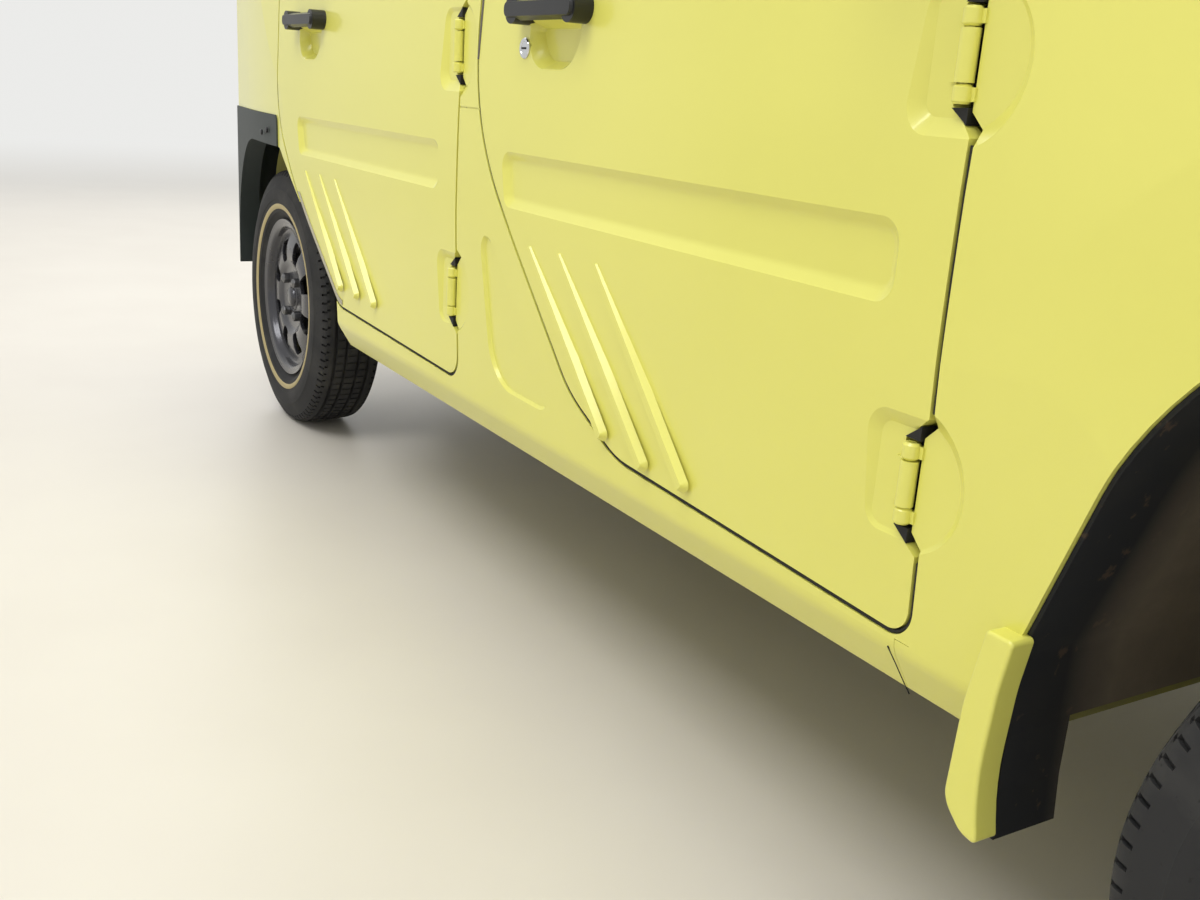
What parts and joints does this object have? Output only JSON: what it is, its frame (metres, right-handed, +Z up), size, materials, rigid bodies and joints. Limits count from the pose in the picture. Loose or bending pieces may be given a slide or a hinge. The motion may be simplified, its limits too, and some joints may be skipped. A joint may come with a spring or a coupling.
{
  "type": "kei car",
  "caption": "Small five-door hatchback with exposed door hinges, ribbed doors, steering, opening doors, bonnet and tailgate, and turning wheels.",
  "frame": {"origin": "under the middle of the car's box, on the ground", "axes": "+X forward, +Y to the car's left, +Z up"},
  "size_m": [3.395, 1.775, 1.55],
  "materials": {
    "body_paint": "solid gloss paint",
    "dark_plastic": "grained, unpainted",
    "black_plastic": "satin black moulding",
    "window_glass": "clear, faintly green",
    "lamp_glass": "clear lens",
    "red_lens": "red lamp lens",
    "wheel_paint": "dark grey pressed steel",
    "tyre_rubber": "black rubber",
    "chassis_black": "black underbody paint",
    "underbody_paint": "dull body colour primer",
    "cast_metal": "rough casting",
    "exhaust_steel": "dull steel tube",
    "radiator_core": "finned core, dark",
    "seat_cloth": "woven grey cloth",
    "dash_plastic": "grained charcoal moulding",
    "liner_plastic": "dull black liner"
  },
  "bodies": {
    "body": {"side_frame_right": "body_paint", "side_frame_left": "body_paint", "roof_panel": "body_paint", "windscreen": "window_glass", "front_fenders": "body_paint", "front_panel": "dark_plastic", "headlamps": "lamp_glass", "front_bumper": "dark_plastic", "rear_bumper": "dark_plastic", "tail_lamps": "red_lens", "floor_pan": "underbody_paint", "front_structure": "underbody_paint", "arch_liners": "liner_plastic", "front_subframe": "chassis_black", "rear_suspension": "chassis_black", "engine_block": "cast_metal", "exhaust": "exhaust_steel", "fuel_tank": "chassis_black", "radiator": "radiator_core", "seats": "seat_cloth", "seat_rails": "chassis_black", "dashboard": "dash_plastic"},
    "knuckle_right": {"knuckle_right": "chassis_black"},
    "wheel_front_right": {"wheel_front_right": "wheel_paint", "tyre_front_right": "tyre_rubber"},
    "wheel_rear_right": {"wheel_rear_right": "wheel_paint", "tyre_rear_right": "tyre_rubber"},
    "door_front_right": {"door_front_right": "body_paint", "glass_front_right": "window_glass", "mirror_and_handle_right": "black_plastic"},
    "door_rear_right": {"door_rear_right": "body_paint", "glass_rear_right": "window_glass", "handle_rear_right": "black_plastic"},
    "knuckle_left": {"knuckle_left": "chassis_black"},
    "wheel_front_left": {"wheel_front_left": "wheel_paint", "tyre_front_left": "tyre_rubber"},
    "wheel_rear_left": {"wheel_rear_left": "wheel_paint", "tyre_rear_left": "tyre_rubber"},
    "door_front_left": {"door_front_left": "body_paint", "glass_front_left": "window_glass", "mirror_and_handle_left": "black_plastic"},
    "door_rear_left": {"door_rear_left": "body_paint", "glass_rear_left": "window_glass", "handle_rear_left": "black_plastic"},
    "bonnet": {"bonnet": "body_paint"},
    "tailgate": {"tailgate": "body_paint", "tailgate_glass": "window_glass"},
    "steering_wheel": {"steering_wheel": "black_plastic"}
  },
  "joints": [
    {"name": "steer_right", "type": "hinge", "parent": "body", "child": "knuckle_right", "pos_m": [1.0725, -0.56, 0.2682], "axis": [0, 0.2079, 0.9781], "range_deg": [-55, 15]},
    {"name": "steer_left", "type": "hinge", "parent": "body", "child": "knuckle_left", "pos_m": [1.0725, 0.56, 0.2682], "axis": [0, -0.2079, 0.9781], "range_deg": [-55, 15]},
    {"name": "steering_wheel_turn", "type": "hinge", "parent": "body", "child": "steering_wheel", "pos_m": [0.3725, -0.335, 0.8], "axis": [-0.9135, 0, 0.4067], "range_deg": [-825, 225]},
    {"name": "spin_front_right", "type": "hinge", "parent": "knuckle_right", "child": "wheel_front_right", "pos_m": [1.09174, -0.61418, 0.26749], "axis": [-0.3345, 0.9423, 0.0123], "continuous": true},
    {"name": "spin_rear_right", "type": "hinge", "parent": "body", "child": "wheel_rear_right", "pos_m": [-1.2875, -0.6175, 0.267], "axis": [0, 1, 0], "continuous": true},
    {"name": "spin_front_left", "type": "hinge", "parent": "knuckle_left", "child": "wheel_front_left", "pos_m": [1.05326, 0.61418, 0.26749], "axis": [-0.3345, 0.9423, -0.0123], "continuous": true},
    {"name": "spin_rear_left", "type": "hinge", "parent": "body", "child": "wheel_rear_left", "pos_m": [-1.2875, 0.6175, 0.267], "axis": [0, 1, 0], "continuous": true},
    {"name": "door_front_right_swing", "type": "hinge", "parent": "body", "child": "door_front_right", "pos_m": [0.6095, -0.7305, 0.6125], "axis": [0, 0, 1], "range_deg": [0, 68]},
    {"name": "door_rear_right_swing", "type": "hinge", "parent": "body", "child": "door_rear_right", "pos_m": [-0.2935, -0.7305, 0.614], "axis": [0, 0, 1], "range_deg": [0, 68]},
    {"name": "door_front_left_swing", "type": "hinge", "parent": "body", "child": "door_front_left", "pos_m": [0.6095, 0.7305, 0.6125], "axis": [0, 0, -1], "range_deg": [0, 68]},
    {"name": "door_rear_left_swing", "type": "hinge", "parent": "body", "child": "door_rear_left", "pos_m": [-0.2935, 0.7305, 0.614], "axis": [0, 0, -1], "range_deg": [0, 68]},
    {"name": "bonnet_lift", "type": "hinge", "parent": "body", "child": "bonnet", "pos_m": [0.7875, 0, 0.9114], "axis": [0, -1, 0], "range_deg": [0, 50]},
    {"name": "tailgate_lift", "type": "hinge", "parent": "body", "child": "tailgate", "pos_m": [-1.5673, 0, 1.496], "axis": [0, 1, 0], "range_deg": [0, 82]}
  ],
  "couplings": [
    {"joint": "steer_left", "follows": "steer_right", "ratio": 1},
    {"joint": "steering_wheel_turn", "follows": "steer_right", "ratio": 15}
  ]
}
